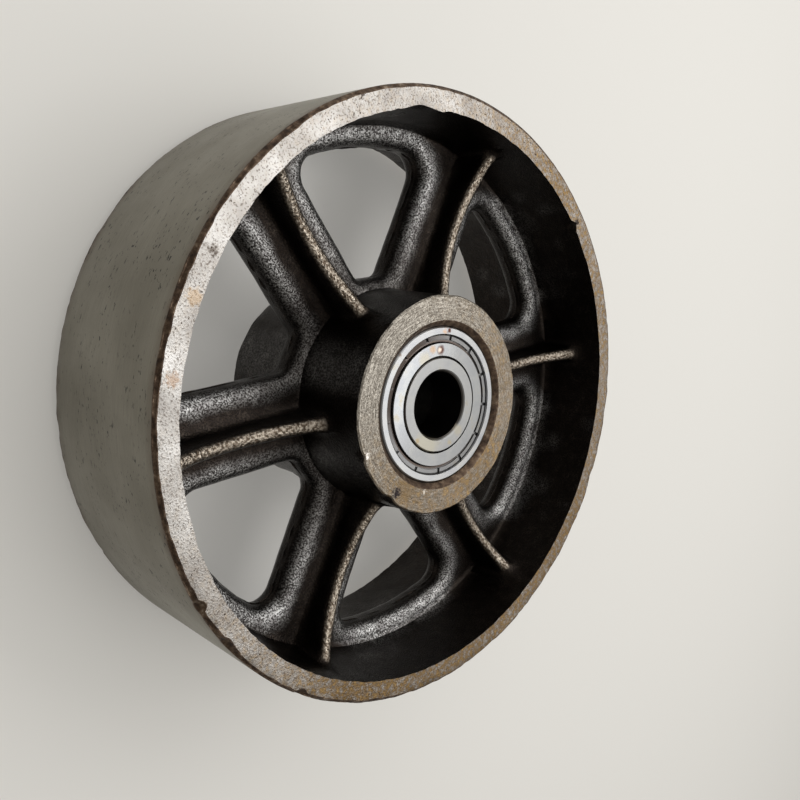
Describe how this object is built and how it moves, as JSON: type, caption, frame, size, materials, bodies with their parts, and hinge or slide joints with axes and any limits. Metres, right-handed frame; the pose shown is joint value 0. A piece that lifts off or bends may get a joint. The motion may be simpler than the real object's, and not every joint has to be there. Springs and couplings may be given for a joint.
{
  "type": "iron castor wheel",
  "caption": "Cast-iron castor wheel with a wide flat tread, ribbed spokes and a shielded ball bearing in each end of its hub.",
  "frame": {"origin": "middle of the wheel's width, on the axle's axis", "axes": "+Z along the axle towards the face that the picture shows; +X along the middle of one rib"},
  "size_m": [0.18, 0.18, 0.063],
  "materials": {
    "casting": "sand-cast skin, oiled; tread, rim faces and hub faces machined",
    "ring": "ground bearing steel",
    "shield": "bright pressed steel",
    "tube": "plain drawn tube",
    "cage": "pressed strip steel",
    "rivet": "steel",
    "ball": "lapped bearing steel"
  },
  "bodies": {
    "axle_side": {"spacer_tube": "tube", "front_inner_ring": "ring", "rear_inner_ring": "ring"},
    "wheel": {"wheel_casting": "casting", "front_outer_ring": "ring", "rear_outer_ring": "ring", "front_outer_shield": "shield", "rear_outer_shield": "shield", "front_inner_shield": "shield", "rear_inner_shield": "shield"},
    "front_ball_set": {"front_cage_outer_half": "cage", "front_cage_inner_half": "cage", "front_cage_rivets": "rivet", "front_ball_1": "ball", "front_ball_2": "ball", "front_ball_3": "ball", "front_ball_4": "ball", "front_ball_5": "ball", "front_ball_6": "ball", "front_ball_7": "ball", "front_ball_8": "ball"},
    "rear_ball_set": {"rear_cage_outer_half": "cage", "rear_cage_inner_half": "cage", "rear_cage_rivets": "rivet", "rear_ball_1": "ball", "rear_ball_2": "ball", "rear_ball_3": "ball", "rear_ball_4": "ball", "rear_ball_5": "ball", "rear_ball_6": "ball", "rear_ball_7": "ball", "rear_ball_8": "ball"}
  },
  "joints": [
    {"name": "wheel_spin", "type": "hinge", "parent": "axle_side", "child": "wheel", "pos_m": [0, 0, 0], "axis": [0, 0, 1], "continuous": true},
    {"name": "front_balls_roll", "type": "hinge", "parent": "axle_side", "child": "front_ball_set", "pos_m": [0, 0, 0.0235], "axis": [0, 0, 1], "continuous": true},
    {"name": "rear_balls_roll", "type": "hinge", "parent": "axle_side", "child": "rear_ball_set", "pos_m": [0, 0, -0.0235], "axis": [0, 0, 1], "continuous": true}
  ],
  "couplings": [
    {"joint": "front_balls_roll", "follows": "wheel_spin", "ratio": 0.61848},
    {"joint": "rear_balls_roll", "follows": "wheel_spin", "ratio": 0.61848}
  ]
}
